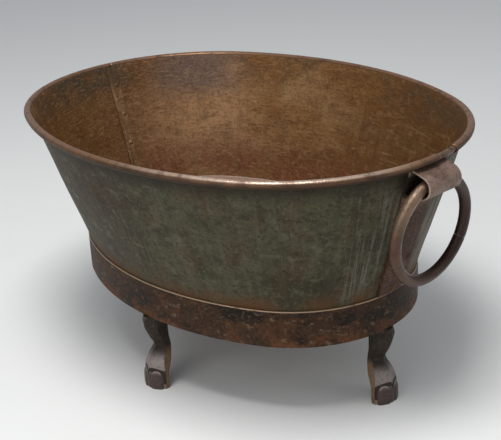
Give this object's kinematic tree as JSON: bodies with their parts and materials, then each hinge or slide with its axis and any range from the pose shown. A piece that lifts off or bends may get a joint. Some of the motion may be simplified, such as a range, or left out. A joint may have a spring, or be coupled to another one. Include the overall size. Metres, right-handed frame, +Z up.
{
  "type": "fire pit with grate",
  "caption": "Oval sheet-iron fire tub with a rolled rim, base band, cast cabriole legs, ring handles in folded straps and a lift-out bar grate.",
  "frame": {"origin": "on the ground under the middle of the tub", "axes": "+X along the oval towards the handle with the bare rim wire, +Y towards the seams, +Z up"},
  "size_m": [0.7256, 0.5288, 0.3664],
  "materials": {
    "wall_sheet": "aged sheet iron, grey-green outside and rust brown inside, worn satin",
    "rim_wire": "dull iron wire",
    "seam_iron": "rust-brown strip",
    "band_iron": "rusted hoop iron with dark patches",
    "pan_sheet": "scorched sheet iron",
    "grate_iron": "scorched iron with a thin rust bloom",
    "leg_casting": "dark cast iron, worn grey on the instep",
    "strap_iron": "purple-brown forged strap",
    "ring_iron": "brown round bar, polished by use",
    "rivet_iron": "brown iron rivets",
    "bolt_steel": "dull steel bolts"
  },
  "bodies": {
    "tub": {"wall_front": "wall_sheet", "wall_rear": "wall_sheet", "rim_wire": "rim_wire", "seam_strip_right": "seam_iron", "seam_strip_left": "seam_iron", "base_band": "band_iron", "floor_pan": "pan_sheet", "leg_right": "leg_casting", "leg_left": "leg_casting", "leg_front": "leg_casting", "leg_rear": "leg_casting", "strap_right": "strap_iron", "strap_left": "strap_iron", "seam_rivets": "rivet_iron", "band_rivets": "rivet_iron", "strap_rivets_right": "rivet_iron", "strap_rivets_left": "rivet_iron", "leg_bolts": "bolt_steel", "leg_washers": "bolt_steel", "leg_nuts": "bolt_steel"},
    "ring_right": {"ring_right": "ring_iron"},
    "ring_left": {"ring_left": "ring_iron"},
    "grate": {"grate_frame": "grate_iron", "grate_bar_1": "grate_iron", "grate_bar_2": "grate_iron", "grate_bar_3": "grate_iron", "grate_bar_4": "grate_iron", "grate_bar_5": "grate_iron", "grate_bar_6": "grate_iron", "grate_bar_7": "grate_iron", "grate_bar_8": "grate_iron", "grate_bar_9": "grate_iron", "grate_cross_bar_right": "grate_iron", "grate_cross_bar_left": "grate_iron", "grate_feet": "grate_iron"}
  },
  "joints": [
    {"name": "ring_right_swing", "type": "hinge", "parent": "tub", "child": "ring_right", "pos_m": [0.347, 0, 0.3332], "axis": [0, -1, 0], "range_deg": [-14, 184]},
    {"name": "ring_left_swing", "type": "hinge", "parent": "tub", "child": "ring_left", "pos_m": [-0.347, 0, 0.3332], "axis": [0, 1, 0], "range_deg": [-14, 184]},
    {"name": "grate_lift", "type": "slide", "parent": "tub", "child": "grate", "axis": [0, 0, 1], "range_m": [0, 0.27]}
  ]
}
